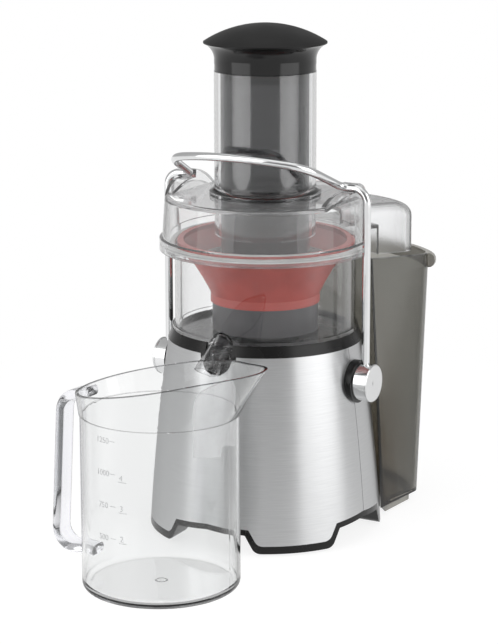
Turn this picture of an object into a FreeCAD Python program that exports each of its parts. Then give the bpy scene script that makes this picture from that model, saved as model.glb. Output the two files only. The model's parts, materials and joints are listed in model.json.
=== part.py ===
import FreeCAD, Part
import math
import os

# Centrifugal juicer with its pulp bin and jug, in millimetres.
# Everything is drawn about the motor axis, with the floor at z = 0, the juice spout towards -Y and the
# pulp bin towards +Y. The last step moves the whole set so that the middle of its footprint is the origin.

# Clearances
fit_gap = 0.3
running_gap = 0.05
slip_gap = 0.1

# Motor base
base_radius = 94.2
body_top_radius = 77.8
body_top = 154.5
body_bulge = 1.6
shell_thickness = 1.2
seam_y = -6.0
seam_gap = 0.4
foot_pad_radius = 7.0
foot_pad_height = 4.0
foot_pad_proud = 1.5
foot_circle_radius = 82.0
trim_band = 6.0
trim_arch_band = 4.4
trim_thickness = 5.0
trim_lip_height = 34.0
arch_front_half = 38.5
arch_side_half = 37.0
arch_side_shift = -7.0
arch_lean = 8.7
arch_shoulder = 15.8
arch_height = 18.4
leg_corner = 7.5
leg_corner_steps = 6
steel_corner = 7.0
leg_inner_radius = 72.0
base_plate_thickness = 4.0
leg_top = arch_height + 2.0
vent_count = 12
vent_length = 22.0
vent_width = 3.0
vent_circle_radius = 36.0
screw_radius = 1.5
screw_head_radius = 3.2
screw_head_height = 2.4
screw_length = 15.0
post_radius = 5.0
post_circle_radius = 66.0

# Top collar that carries the bowl and the motor
collar_height = 8.5
collar_top_radius = 74.8
collar_proud = 0.4
collar_skirt_depth = 10.0
deck_top = 150.0
deck_thickness = 4.0
seal_radius = 13.0
spout_bib_radius = 16.0

# Motor
shaft_radius = 4.0
shaft_low = 28.0
bearing_radius = 11.0
bearing_height = 7.0
lower_bearing_low = 32.0
upper_bearing_low = 113.0
core_radius = 42.0
core_bore_radius = 21.3
core_low = 58.0
core_high = 98.0
winding_inner_radius = 24.0
winding_outer_radius = 34.0
winding_half_angle = 40.0
winding_overhang = 8.0
armature_gap = 0.7
armature_neck_radius = 16.0
commutator_radius = 11.0
commutator_low = 100.0
commutator_height = 9.0
brush_width = 8.0
brush_outer_radius = 30.0
bracket_thickness = 4.0
lower_bracket_low = 44.0
upper_bracket_low = 112.0
bracket_hub_radius = 15.0
motor_bolt_radius = 2.0
motor_bolt_circle = 37.5
motor_bolt_head_radius = 3.8
motor_bolt_head_height = 3.0
motor_post_radius = 4.2
mount_circle_radius = 50.0
mount_radius = 7.0
mount_height = 12.0
fan_radius = 32.0
fan_hub_radius = 9.0
fan_low = 123.0
fan_height = 15.0
fan_blade_count = 9
fan_blade_thickness = 1.6
fan_disc_thickness = 2.0

# Juice bowl and spout
bowl_radius = 72.4
bowl_wall = 2.6
bowl_top = 229.5
bowl_rim_radius = 79.5
bowl_rim_thickness = 3.0
bowl_floor_low = 157.0
bowl_floor_thickness = 3.0
bowl_foot_width = 5.0
bowl_flange_radius = 74.4
bowl_flange_thickness = 2.5
bowl_core_radius = 27.0
bowl_core_wall = 3.0
bowl_core_top = 168.0
spout_radius = 10.0
spout_wall = 1.7
spout_slope = 32.6
spout_axis_height = 158.4
spout_axis_y = -71.5
spout_reach = 25.4
spout_mouth_slope = 61.0
spout_collar_radius = 10.6
spout_collar_length = 3.0

# Spinning basket
hub_radius = 42.4
hub_low = 162.0
hub_high = 191.0
hub_wall = 2.6
hub_boss_radius = 19.0
coupling_flats = 20.0
coupling_hub_radius = 18.0
coupling_low = 152.0
coupling_shoulder = 160.0
coupling_high = 180.0
basket_skirt_thickness = 1.3
basket_skirt_drop = 6.6
basket_waist_radius = 54.0
basket_waist_height = 210.0
basket_top_radius = 68.6
basket_rim_radius = 70.8
basket_rim_gap = 0.5
basket_rim_height = 3.5
basket_wall = 2.0
mesh_top = 216.0
mesh_thickness = 0.6
grater_thickness = 1.2
grater_radius = 40.0
grater_tooth_count = 12
grater_tooth_height = 1.6

# Lid, feed tube and chute
lid_flange_radius = 84.5
lid_flange_low = 226.5
lid_flange_high = 236.0
lid_side_radius = 82.2
lid_top_radius = 80.2
lid_top = 270.0
lid_edge = 3.5
lid_wall = 2.6
seal_width = 5.0
chute_inset = 13.0
chute_top = 250.5
chute_edge = 11.0
chute_mouth_low = 234.0
chute_edge_layers = 8
chute_root_y = 45.0
tube_radius = 40.5
tube_wall = 3.0
tube_low = 237.0
tube_top = 368.6
tube_foot_radius = 44.6
tube_foot_height = 9.0
tube_foot_edge = 3.0
hump_half_length = 37.0
hump_inner_x = 66.0
hump_lip_rise = 3.0
hump_lip_width = 5.0

# Pusher
pusher_radius = 35.5
pusher_wall = 2.5
pusher_low = 204.0
pusher_floor = 3.0
band_radius = 40.2
band_height = 5.4
handle_neck_radius = 40.4
handle_neck_height = 4.0
handle_height = 16.0
handle_wall = 3.0
cap_radius = 48.9
cap_edge = 1.2
cap_dome = 14.4
spigot_length = 8.0

# Locking arm
pivot_drop = 27.9
pivot_height = body_top - pivot_drop
arm_leg_x = 90.0
arm_rod_radius = 3.2
arm_shoulder_rise = 11.0
arm_shoulder_height = lid_top + arm_shoulder_rise
arm_shoulder_x = 68.0
arm_bow_x = 60.0
arm_bow_y = -47.0
arm_bow_front_y = -63.0
arm_bow_slope = 0.45
arm_leg_bend = 11.0
arm_shoulder_bend = 8.0
arm_bow_bend = 28.0
arm_front_bend = 140.0
drum_radius = 14.8
drum_start_x = 85.6
drum_length = 10.0
drum_cap_radius = 15.05
drum_cap_thickness = 2.2
drum_cap_dish = 0.9
pin_radius = 6.0
pin_collar_radius = 8.5
pin_collar_width = 3.0
bush_flange_radius = 17.0
bush_radius = 12.0
bush_inner_x = 66.0
bush_clamp_radius = 15.5
bush_clamp_width = 4.0

# Safety interlock on the left pivot pin
cam_radius = 11.0
cam_lead = 2.5
cam_width = 6.0
cam_inner_x = 54.0
arm_open_angle = 55.0
cam_run_on = 15.0
cam_gap = 0.4
plunger_radius = 2.5
plunger_tip_radius = 0.8
plunger_tip_height = 3.0
plunger_length = 17.0
interlock_box_drop = 20.6
interlock_box_height = 20.0
interlock_box_high = pivot_height - interlock_box_drop
interlock_box_low = interlock_box_high - interlock_box_height
interlock_box_half = 8.0
interlock_rib_thickness = 3.0
interlock_rib_y = 15.0

# Speed switch and cord gland in the rear shell
switch_angle = 168.0
switch_height = 66.0
switch_bezel_radius = 13.0
switch_body_radius = 11.0
switch_depth = 20.0
switch_bezel_proud = 2.0
rocker_half_width = 4.0
rocker_half_height = 6.6
rocker_slot_half_height = 8.4
rocker_pivot_depth = 7.0
rocker_proud = 2.6
rocker_tail = 4.0
rocker_pin_radius = 1.5
gland_angle = 148.0
gland_height = 48.0
gland_radius = 6.5
gland_flange_radius = 9.5
gland_bore_radius = 3.7
gland_proud = 9.0
gland_depth = 14.0

# Pulp bin
bin_gap = 0.5
bin_wall = 2.4
bin_rim_front_x = base_radius - 37.2
bin_foot_front_x = base_radius - 12.2
bin_rim_corner_x = base_radius - 2.7
bin_rim_corner_y = base_radius + 25.8
bin_rim_back_y = base_radius + 70.8
bin_foot_corner_x = base_radius - 6.7
bin_foot_corner_y = base_radius + 11.8
bin_foot_back_y = base_radius + 63.8
bin_corner = 14.0
bin_least_corner = 7.0
bin_floor_low = 8.0
bin_floor_thickness = 2.6
bin_rim_height = 209.0
bin_rim_band = 11.0
bin_rim_proud = 1.0
bin_plinth_inset = 6.0
bin_lip_reach = 5.5
bin_lip_height = 12.0
bin_lip_layers = 8
bin_lip_start_y = base_radius + 27.0
chute_gap = 0.8

# Jug
jug_x = 6.0
jug_y = -174.0
jug_radius = 59.5
jug_wall = 2.4
jug_floor = 3.0
jug_bottom_edge = 5.0
jug_ring_height = 134.0
jug_ring_step = 0.8
jug_rim_radius = 62.5
jug_rim_height = 159.0
jug_rim_slope = 0.183
jug_lip_reach = 25.5
jug_lip_spread = 0.42
jug_rim_points = 32
jug_handle_top_reach = 83.5
jug_handle_foot_reach = 90.0
jug_handle_low = 18.0
jug_handle_high = 136.5
jug_handle_rise = 6.0
jug_handle_thickness = 7.5
jug_handle_width = 18.0
jug_handle_bend = 15.0
jug_handle_edge = 3.4
separator_x = 46.0
separator_thickness = 2.0
separator_low = 113.0
separator_high = 160.0
separator_corner = 14.0
separator_slope = 0.25
separator_notch_start = 36.0
separator_notch_lean = 2.0
separator_notch_height = 8.5
separator_notch_round = 5.0


# Shape helpers

def point(x, y, z):
    return FreeCAD.Vector(x, y, z)


up = point(0, 0, 1)
axis_foot = point(0, 0, 0)


# A closed face in the XZ plane. A step is (r, z) for a straight edge, or (mid r, mid z, r, z) for an arc.
def profile(steps):
    edges = []
    at = point(steps[0][0], 0, steps[0][1])
    for step in steps[1:] + [steps[0]]:
        end = point(step[-2], 0, step[-1])
        if len(step) == 4:
            edges.append(Part.Arc(at, point(step[0], 0, step[1]), end).toShape())
        else:
            edges.append(Part.LineSegment(at, end).toShape())
        at = end
    return Part.Face(Part.Wire(edges))


def turned(steps):
    return profile(steps).revolve(axis_foot, up, 360)


# The step of a profile that closes a round end with part of a sphere. A rise below zero makes a dish.
def dome(radius, base, rise):
    sphere = (radius ** 2 + rise ** 2) / (2 * abs(rise))
    middle = 0.6 * radius
    drop = sphere - math.sqrt(sphere ** 2 - middle ** 2)
    return (middle, base + rise - math.copysign(drop, rise), 0, base + rise)


def disc(radius, low, high, x=0.0, y=0.0):
    return Part.makeCylinder(radius, high - low, point(x, y, low))


def ring(outer, inner, low, high, x=0.0, y=0.0):
    return disc(outer, low, high, x, y).cut(disc(inner, low, high, x, y))


def bar_x(radius, start, end, y, z):
    return Part.makeCylinder(radius, end - start, point(start, y, z), point(1, 0, 0))


def bar_y(radius, start, end, x, z):
    return Part.makeCylinder(radius, end - start, point(x, start, z), point(0, 1, 0))


def block(x0, x1, y0, y1, z0, z1):
    return Part.makeBox(x1 - x0, y1 - y0, z1 - z0, point(x0, y0, z0))


def joined(shapes):
    return shapes[0].multiFuse(shapes[1:]).removeSplitter()


def spun(shape, degrees):
    copy = shape.copy()
    copy.rotate(axis_foot, up, degrees)
    return copy


def around(shape, count, first=0.0):
    return [spun(shape, first + 360.0 * i / count) for i in range(count)]


# The same piece on the other side of the YZ plane.
def opposite(shape):
    return shape.mirror(axis_foot, point(1, 0, 0))


def extruded(corners, direction):
    wire = Part.makePolygon(corners + [corners[0]])
    return Part.Face(wire).extrude(direction)


def group(shapes):
    return Part.makeCompound(shapes)


pieces = {}


def keep(name, shape):
    pieces[name] = shape


# A path of straight runs joined by tangent arcs.
def rounded_path(corners, radii):
    edges = []
    at = corners[0]
    for i in range(1, len(corners) - 1):
        before = (corners[i - 1] - corners[i]).normalize()
        after = (corners[i + 1] - corners[i]).normalize()
        half = before.getAngle(after) / 2
        length = radii[i - 1] / math.tan(half)
        start = corners[i] + before * length
        end = corners[i] + after * length
        bisector = (before + after).normalize()
        middle = corners[i] + bisector * (radii[i - 1] / math.sin(half) - radii[i - 1])
        edges.append(Part.LineSegment(at, start).toShape())
        edges.append(Part.Arc(start, middle, end).toShape())
        at = end
    edges.append(Part.LineSegment(at, corners[-1]).toShape())
    return Part.Wire(edges)


# Motor base: two steel shells on a black frame

def body_radius(z):
    share = z / body_top
    straight = base_radius + (body_top_radius - base_radius) * share
    return straight + 4 * body_bulge * share * (1 - share)


def body_blank(inset):
    middle = body_top / 2
    return turned([
        (0, 0),
        (body_radius(0) - inset, 0),
        (body_radius(middle) - inset, middle, body_radius(body_top) - inset, body_top),
        (0, body_top),
    ])


# One opening between two legs, right through along Y, grown outwards by an offset. The corners of the
# legs at the low height are rounded.
def arch(floor_half, offset, low, corner):
    reach = 2 * base_radius
    lean = arch_lean / arch_shoulder
    half = floor_half + offset * math.sqrt(1 + lean ** 2)
    side_turn = math.atan(lean)
    centre_x = half - lean * low + corner * math.tan((math.pi / 2 - side_turn) / 2)
    right = [point(centre_x, -reach, -1)]
    for i in range(leg_corner_steps + 1):
        turn = (math.pi / 2 - side_turn) * i / leg_corner_steps
        right.append(point(centre_x - corner * math.sin(turn), -reach, low + corner * (1 - math.cos(turn))))
    right.append(point(half - arch_lean - offset * lean, -reach, arch_shoulder + offset))
    left = [point(-p.x, p.y, p.z) for p in reversed(right)]
    return extruded(right + [point(0, -reach, arch_height + offset)] + left, point(0, 2 * reach, 0))


def arches(offset, low, corner):
    across = spun(arch(arch_side_half, offset, low, corner), 90)
    across.translate(point(0, arch_side_shift, 0))
    return arch(arch_front_half, offset, low, corner).fuse(across)


def slab(low, high):
    return disc(2 * base_radius, low, high)


steel_edge = foot_pad_proud + trim_band
shell_band = body_blank(0).cut(body_blank(shell_thickness)).common(slab(steel_edge, body_top))
shell_band = shell_band.cut(arches(trim_arch_band, steel_edge, steel_corner))

spout_turn = math.radians(spout_slope)
spout_direction = point(0, -math.cos(spout_turn), -math.sin(spout_turn))
spout_start = point(0, spout_axis_y, spout_axis_height)
bib_height = body_top + collar_height - spout_bib_radius / 2


def spout_bar(radius, back, forward):
    return Part.makeCylinder(radius, back + forward, spout_start - spout_direction * back, spout_direction)


bib_bar = bar_y(spout_bib_radius, -2 * base_radius, -body_top_radius / 2, 0, bib_height)
shell_band = shell_band.cut(bib_bar)

bush_hole = bar_x(bush_radius + slip_gap, 0, 2 * base_radius, 0, pivot_height)
shell_band = shell_band.cut(bush_hole).cut(opposite(bush_hole))


# A bar that stands square to the wall at an angle round the body, counted from +X.
def wall_bar(radius, start, end, height, angle):
    return spun(bar_x(radius, start, end, 0, height), angle)


switch_wall = body_radius(switch_height)
gland_wall = body_radius(gland_height)
span = 2 * base_radius
switch_hole = switch_body_radius + slip_gap
gland_hole = gland_radius + slip_gap
switch_back = switch_wall - switch_depth
shell_band = shell_band.cut(wall_bar(switch_hole, switch_back, span, switch_height, switch_angle))
shell_band = shell_band.cut(wall_bar(gland_hole, gland_wall - gland_depth, span, gland_height, gland_angle))
front_side = block(-span, span, -span, seam_y, -1, body_top + 1)
rear_side = block(-span, span, seam_y + seam_gap, span, -1, body_top + 1)
keep("front_shell", shell_band.common(front_side))
keep("rear_shell", shell_band.common(rear_side))


def foot_centres(radius):
    return [(radius * math.cos(math.radians(45 + 90 * i)), radius * math.sin(math.radians(45 + 90 * i)))
            for i in range(4)]


def bottom_trim():
    legs = body_blank(0).cut(disc(leg_inner_radius, -1, body_top + 1)).common(slab(foot_pad_proud, leg_top))
    lip = body_blank(0).cut(body_blank(trim_thickness)).common(slab(foot_pad_proud, trim_lip_height))
    steel = body_blank(-1).cut(body_blank(shell_thickness)).common(slab(steel_edge, body_top))
    steel = steel.cut(arches(trim_arch_band, steel_edge, steel_corner))
    trim = joined([legs, lip]).cut(arches(0, foot_pad_proud, leg_corner)).cut(steel)
    for x, y in foot_centres(foot_circle_radius):
        trim = trim.cut(disc(foot_pad_radius + slip_gap, 0, foot_pad_height, x, y))
    return trim


keep("bottom_trim", bottom_trim())
keep("rubber_feet", group([disc(foot_pad_radius, 0, foot_pad_height, x, y)
                           for x, y in foot_centres(foot_circle_radius)]))

plate_top = leg_top + base_plate_thickness


def base_plate():
    plate = disc(body_radius(plate_top) - trim_thickness - 2 * slip_gap, leg_top, plate_top)
    vent = block(vent_circle_radius - vent_length / 2, vent_circle_radius + vent_length / 2,
                 -vent_width / 2, vent_width / 2, leg_top - 1, plate_top + 1)
    for slot in around(vent, vent_count):
        plate = plate.cut(slot)
    for x, y in foot_centres(post_circle_radius):
        plate = plate.cut(disc(screw_radius + slip_gap, leg_top - 1, plate_top + 1, x, y))
        plate = plate.cut(disc(screw_head_radius + fit_gap, leg_top - 1, leg_top + screw_head_height, x, y))
    return plate


keep("base_plate", base_plate())

screw_seat = leg_top + screw_head_height
keep("base_screws", group([
    disc(screw_head_radius, leg_top, screw_seat, x, y).fuse(
        disc(screw_radius, screw_seat, screw_seat + screw_length, x, y))
    for x, y in foot_centres(post_circle_radius)]))


# Top collar, its deck and the posts that hang from it

collar_top = body_top + collar_height
deck_low = deck_top - deck_thickness
bowl_seat_radius = bowl_radius + 2 * fit_gap
skirt_radius = body_radius(body_top) - shell_thickness - slip_gap
skirt_low = body_top - collar_skirt_depth
interlock_x = -(cam_inner_x + cam_width / 2)


def interlock_rib():
    half = interlock_box_half
    back = interlock_rib_y + interlock_rib_thickness
    return block(interlock_x - half, interlock_x + half, interlock_rib_y, back,
                 interlock_box_low, deck_top - deck_thickness / 2)


def top_collar():
    collar = turned([
        (seal_radius, deck_low),
        (bowl_seat_radius - 1, deck_low),
        (bowl_seat_radius - 1, skirt_low),
        (skirt_radius, skirt_low),
        (skirt_radius, body_top),
        (body_top_radius + collar_proud, body_top),
        (collar_top_radius, collar_top),
        (bowl_seat_radius, collar_top),
        (bowl_seat_radius, deck_top),
        (seal_radius, deck_top),
    ])
    bib = body_blank(0).cut(body_blank(trim_thickness)).common(
        bar_y(spout_bib_radius - slip_gap, -2 * base_radius, -body_top_radius / 2, 0, bib_height))
    bib = bib.cut(disc(bowl_seat_radius, deck_low - 1, collar_top + 1))
    parts = [collar, bib, interlock_rib()]
    for x, y in foot_centres(post_circle_radius):
        post = disc(post_radius, plate_top, deck_top - deck_thickness / 2, x, y)
        screw_hole = disc(screw_radius + running_gap, plate_top, screw_seat + screw_length + 1, x, y)
        parts.append(post.cut(screw_hole))
    mount_top = upper_bracket_low + bracket_thickness + mount_height
    for x, y in foot_centres(mount_circle_radius):
        parts.append(disc(mount_radius, mount_top, deck_top - deck_thickness / 2, x, y))
    collar = joined(parts)
    half = spout_collar_radius + 1
    spout_room = spout_bar(half, spout_reach, 2 * spout_reach)
    open_top = block(-half, half, -span, -bowl_seat_radius / 2, bib_height, collar_top + 1)
    keep_inside = disc(bowl_seat_radius - 1, deck_low - 1, collar_top + 1)
    return collar.cut(joined([spout_room, open_top]).cut(keep_inside))


keep("top_collar", top_collar())
keep("shaft_seal", ring(seal_radius, shaft_radius + running_gap, deck_low, deck_top))


# Motor

def coil():
    half = math.radians(winding_half_angle)
    outer = 2 * core_radius
    low = core_low - winding_overhang
    high = core_high + winding_overhang
    wedge = extruded([point(0, 0, low),
                      point(outer * math.cos(half), -outer * math.sin(half), low),
                      point(outer * math.cos(half), outer * math.sin(half), low)],
                     point(0, 0, high - low))
    return ring(winding_outer_radius, winding_inner_radius, low, high).common(wedge)


coils = [coil(), spun(coil(), 180)]


def bolt_places():
    return [(0, motor_bolt_circle), (0, -motor_bolt_circle)]


def motor_core():
    core = ring(core_radius, core_bore_radius, core_low, core_high)
    for winding in coils:
        core = core.cut(winding)
    for x, y in bolt_places():
        core = core.cut(disc(motor_bolt_radius + slip_gap, core_low, core_high, x, y))
    return core


keep("motor_core", motor_core())
keep("field_windings", group(coils))


def bearing(low):
    return ring(bearing_radius, shaft_radius + running_gap, low, low + bearing_height)


keep("lower_bearing", bearing(lower_bearing_low))
keep("upper_bearing", bearing(upper_bearing_low))

lower_bracket_high = lower_bracket_low + bracket_thickness
upper_bracket_high = upper_bracket_low + bracket_thickness
shaft_room = shaft_radius + 1.5


def lower_bracket():
    hub_low_z = lower_bearing_low - 2
    parts = [disc(bracket_hub_radius, hub_low_z, lower_bracket_high),
             block(-bracket_hub_radius, bracket_hub_radius, -core_radius, core_radius,
                   lower_bracket_low, lower_bracket_high)]
    for x, y in bolt_places():
        parts.append(disc(motor_post_radius, lower_bracket_low, core_low, x, y))
    bracket = joined(parts)
    bracket = bracket.cut(disc(shaft_room, hub_low_z - 1, lower_bracket_high + 1))
    bracket = bracket.cut(disc(bearing_radius, lower_bearing_low, lower_bearing_low + bearing_height))
    for x, y in bolt_places():
        bracket = bracket.cut(disc(motor_bolt_radius + slip_gap, lower_bracket_low - 1, core_low + 1, x, y))
    return bracket


def upper_bracket():
    hub_high_z = upper_bearing_low + bearing_height + 1
    parts = [disc(bracket_hub_radius, upper_bracket_low, hub_high_z),
             disc(core_radius + 2, upper_bracket_low, upper_bracket_high)]
    for x, y in foot_centres(mount_circle_radius):
        parts.append(disc(mount_radius + 2, upper_bracket_low, upper_bracket_high, x, y))
    for x, y in bolt_places():
        parts.append(disc(motor_post_radius, core_high, upper_bracket_high, x, y))
    bracket = joined(parts)
    bracket = bracket.cut(disc(shaft_room, upper_bracket_low - 1, hub_high_z + 1))
    bracket = bracket.cut(disc(bearing_radius, upper_bearing_low, upper_bearing_low + bearing_height))
    for x, y in bolt_places():
        bolt_hole = disc(motor_bolt_radius + slip_gap, core_high - 1, upper_bracket_high + 1, x, y)
        bracket = bracket.cut(bolt_hole)
    return bracket


keep("lower_bracket", lower_bracket())
keep("upper_bracket", upper_bracket())
keep("motor_bolts", group([
    disc(motor_bolt_head_radius, lower_bracket_low - motor_bolt_head_height, lower_bracket_low, x, y).fuse(
        disc(motor_bolt_radius, lower_bracket_low, upper_bracket_high, x, y))
    for x, y in bolt_places()]))
keep("motor_mounts", group([
    disc(mount_radius, upper_bracket_high, upper_bracket_high + mount_height, x, y)
    for x, y in foot_centres(mount_circle_radius)]))

commutator_high = commutator_low + commutator_height


def brush_holder():
    return block(commutator_radius + fit_gap, brush_outer_radius, -brush_width / 2, brush_width / 2,
                 commutator_low, upper_bracket_low)


keep("brush_holders", group([spun(brush_holder(), 90), spun(brush_holder(), 270)]))
keep("motor_shaft", disc(shaft_radius, shaft_low, coupling_shoulder))
keep("commutator", ring(commutator_radius, shaft_radius, commutator_low, commutator_high))

armature_radius = core_bore_radius - armature_gap
armature_low = core_low + 2
armature_high = core_high - 2
keep("armature", turned([
    (shaft_radius, core_low - winding_overhang + 2),
    (armature_neck_radius, core_low - winding_overhang + 2),
    (armature_radius, armature_low),
    (armature_radius, armature_high),
    (armature_neck_radius, commutator_low),
    (shaft_radius, commutator_low),
]))


def cooling_fan():
    parts = [disc(fan_hub_radius, fan_low, fan_low + fan_height),
             disc(fan_radius, fan_low + fan_height - fan_disc_thickness, fan_low + fan_height)]
    blade = block(fan_hub_radius - 1, fan_radius - 1, -fan_blade_thickness / 2, fan_blade_thickness / 2,
                  fan_low, fan_low + fan_height)
    return joined(parts + around(blade, fan_blade_count)).cut(disc(shaft_radius, fan_low - 1, deck_top))


keep("cooling_fan", cooling_fan())


# Spinning basket on its coupling

def hexagon(flats, low, high):
    radius = flats / math.sqrt(3)
    corners = [point(radius * math.cos(math.radians(60 * i)), radius * math.sin(math.radians(60 * i)), low)
               for i in range(6)]
    return extruded(corners, point(0, 0, high - low))


def drive_coupling():
    coupling = disc(coupling_hub_radius, coupling_low, coupling_shoulder)
    coupling = joined([coupling, hexagon(coupling_flats, coupling_shoulder, coupling_high)])
    return coupling.cut(disc(shaft_radius, coupling_low - 1, coupling_shoulder))


def basket_hub():
    plate_low = hub_high - hub_wall
    hub = turned([
        (0, plate_low - 1),
        (0, hub_high),
        (hub_radius, hub_high),
        (hub_radius, hub_low),
        (hub_radius - hub_wall, hub_low),
        (hub_radius - hub_wall, plate_low),
        (hub_boss_radius, plate_low),
        (hub_boss_radius, hub_low + 2),
        (hub_boss_radius - 2, hub_low + 2),
        (hub_boss_radius - 2, plate_low - 1),
    ])
    boss = disc(hub_boss_radius - 1, hub_low + 2, plate_low).cut(
        hexagon(coupling_flats + 2 * slip_gap, hub_low, coupling_high + 1))
    return joined([hub, boss])


skirt_inner_radius = hub_radius + slip_gap
basket_foot_radius = skirt_inner_radius + basket_skirt_thickness
basket_top = bowl_top + basket_rim_gap


# Three points of the basket's curved side, moved inwards, at its lowest, middle and highest place.
def basket_side(inset, low, high):
    arc = Part.Arc(point(basket_foot_radius, 0, hub_high), point(basket_waist_radius, 0, basket_waist_height),
                   point(basket_top_radius, 0, basket_top))
    circle = arc.toShape().Curve
    places = []
    for z in (low, (low + high) / 2, high):
        reach = math.sqrt((circle.Radius + inset) ** 2 - (z - circle.Center.z) ** 2)
        places.append((circle.Center.x - reach, z))
    return places


def filter_basket():
    floor_top = hub_high + basket_wall
    rim_top = basket_top + basket_rim_height
    outer = basket_side(0, hub_high, basket_top)
    inner = basket_side(basket_wall, floor_top, basket_top)
    return turned([
        (0, hub_high),
        (skirt_inner_radius, hub_high),
        (skirt_inner_radius, hub_high - basket_skirt_drop),
        (basket_foot_radius, hub_high - basket_skirt_drop),
        outer[0],
        outer[1] + outer[2],
        (basket_rim_radius, basket_top),
        (basket_rim_radius, rim_top),
        (inner[2][0], rim_top),
        inner[2],
        inner[1] + inner[0],
        (0, floor_top),
    ])


def filter_mesh():
    low = hub_high + basket_wall + slip_gap
    inset = basket_wall + slip_gap
    outer = basket_side(inset, low, mesh_top)
    inner = basket_side(inset + mesh_thickness, low, mesh_top)
    return turned([outer[0], outer[1] + outer[2], inner[2], inner[1] + inner[0]])


def grater_disc():
    low = hub_high + basket_wall
    high = low + grater_thickness
    tooth = extruded([point(grater_radius * 0.4, -1, high), point(grater_radius * 0.9, -1, high),
                      point(grater_radius * 0.9, -1, high + grater_tooth_height)], point(0, 2, 0))
    teeth = around(tooth, grater_tooth_count)
    return joined([disc(grater_radius, low, high)] + teeth)


keep("drive_coupling", drive_coupling())
keep("basket_hub", basket_hub())
keep("filter_basket", filter_basket())
keep("filter_mesh", filter_mesh())
keep("grater_disc", grater_disc())


# Juice bowl and spout

bowl_floor_high = bowl_floor_low + bowl_floor_thickness


def juice_bowl():
    inner = bowl_radius - bowl_wall
    rim_low = bowl_top - bowl_rim_thickness
    flange_low = collar_top + fit_gap
    bowl = turned([
        (bowl_core_radius - bowl_core_wall, bowl_floor_low),
        (bowl_radius - bowl_foot_width, bowl_floor_low),
        (bowl_radius - bowl_foot_width, deck_top),
        (bowl_radius, deck_top),
        (bowl_radius, flange_low),
        (bowl_flange_radius, flange_low),
        (bowl_flange_radius, flange_low + bowl_flange_thickness),
        (bowl_radius, flange_low + bowl_flange_thickness),
        (bowl_radius, rim_low),
        (bowl_rim_radius, rim_low),
        (bowl_rim_radius, bowl_top),
        (inner, bowl_top),
        (inner, bowl_floor_high),
        (bowl_core_radius, bowl_floor_high),
        (bowl_core_radius, bowl_core_top),
        (bowl_core_radius - bowl_core_wall, bowl_core_top),
    ])
    outlet = spout_bar(spout_radius + slip_gap, 2 * spout_radius, spout_reach)
    outlet = outlet.cut(disc(bowl_radius - 2 * spout_radius, 0, lid_top)).cut(disc(span, 0, bowl_floor_high))
    collar_room = spout_bar(spout_collar_radius + slip_gap, 2 * spout_radius, spout_reach)
    return bowl.cut(outlet).cut(collar_room.cut(disc(bowl_radius, 0, lid_top)))


# What lies beyond the plane of the spout's mouth, which faces further down than the spout runs.
def past_mouth():
    turn = math.radians(spout_mouth_slope)
    facing = point(0, -math.cos(turn), -math.sin(turn))
    return Part.makeCylinder(span, span, spout_start + spout_direction * spout_reach, facing)


def juice_spout():
    inner = bowl_radius - bowl_wall
    outside = joined([spout_bar(spout_radius, 2 * spout_radius, spout_reach + spout_radius),
                      spout_bar(spout_collar_radius, 2 * spout_radius, spout_collar_length)])
    channel = spout_bar(spout_radius - spout_wall, 3 * spout_radius, 2 * spout_reach)
    sleeve = outside.cut(channel).cut(past_mouth())
    in_wall = disc(bowl_radius + slip_gap, 0, lid_top)
    through = spout_bar(spout_radius, 2 * spout_radius, spout_reach).cut(channel)
    through = through.common(in_wall).cut(disc(inner, 0, lid_top))
    through = through.cut(disc(span, 0, bowl_floor_high + slip_gap))
    front_half = block(-span, span, -span, 0, 0, lid_top)
    return joined([sleeve.cut(in_wall), through.common(front_half)])


keep("juice_bowl", juice_bowl())
keep("juice_spout", juice_spout())


# Pulp bin: a wedge behind the base, hollowed to its round back. The chute above it has the same outline

bin_front_radius = base_radius + bin_gap


# One side of the outline, moved inwards: its front corner, then three points of its rounded corner.
def wedge_side(share, inset):
    corner_at = point(bin_foot_corner_x + (bin_rim_corner_x - bin_foot_corner_x) * share,
                      bin_foot_corner_y + (bin_rim_corner_y - bin_foot_corner_y) * share, 0)
    back_y = bin_foot_back_y + (bin_rim_back_y - bin_foot_back_y) * share
    front_x = bin_foot_front_x + (bin_rim_front_x - bin_foot_front_x) * share
    front = point(front_x, math.sqrt(bin_front_radius ** 2 - front_x ** 2), 0)
    along = (corner_at - front).normalize()
    inward = point(-along.y, along.x, 0)
    foot = front + inward * inset
    front_corner = foot + along * ((chute_root_y - foot.y) / along.y)
    rise = back_y - corner_at.y
    back_radius = (corner_at.x ** 2 + rise ** 2) / (2 * rise)
    back_centre = point(0, back_y - back_radius, 0)
    corner = max(bin_corner - inset, bin_least_corner)
    seat = foot + inward * corner - back_centre
    middle = seat.dot(along)
    reach = back_radius - inset - corner
    centre = seat + along * (math.sqrt(middle ** 2 - seat.dot(seat) + reach ** 2) - middle) + back_centre
    start = centre - inward * corner
    outward = (centre - back_centre).normalize()
    end = centre + outward * corner
    arc_middle = centre + (outward - inward).normalize() * corner
    return front_corner, start, arc_middle, end


def wedge_wire(z, share, inset):
    right = [p + point(0, 0, z) for p in wedge_side(share, inset)]
    left = [point(-p.x, p.y, p.z) for p in right]
    back = point(0, bin_foot_back_y + (bin_rim_back_y - bin_foot_back_y) * share - inset, z)
    edges = [Part.LineSegment(left[0], right[0]),
             Part.LineSegment(right[0], right[1]),
             Part.Arc(right[1], right[2], right[3]),
             Part.Arc(right[3], back, left[3]),
             Part.Arc(left[3], left[2], left[1]),
             Part.LineSegment(left[1], left[0])]
    return Part.Wire([e.toShape() for e in edges])


def bin_block(low, high, inset):
    height = bin_rim_height - bin_floor_low
    ends = [wedge_wire(z, (z - bin_floor_low) / height, inset) for z in (low, high)]
    return Part.makeLoft(ends, True, True)


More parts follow.
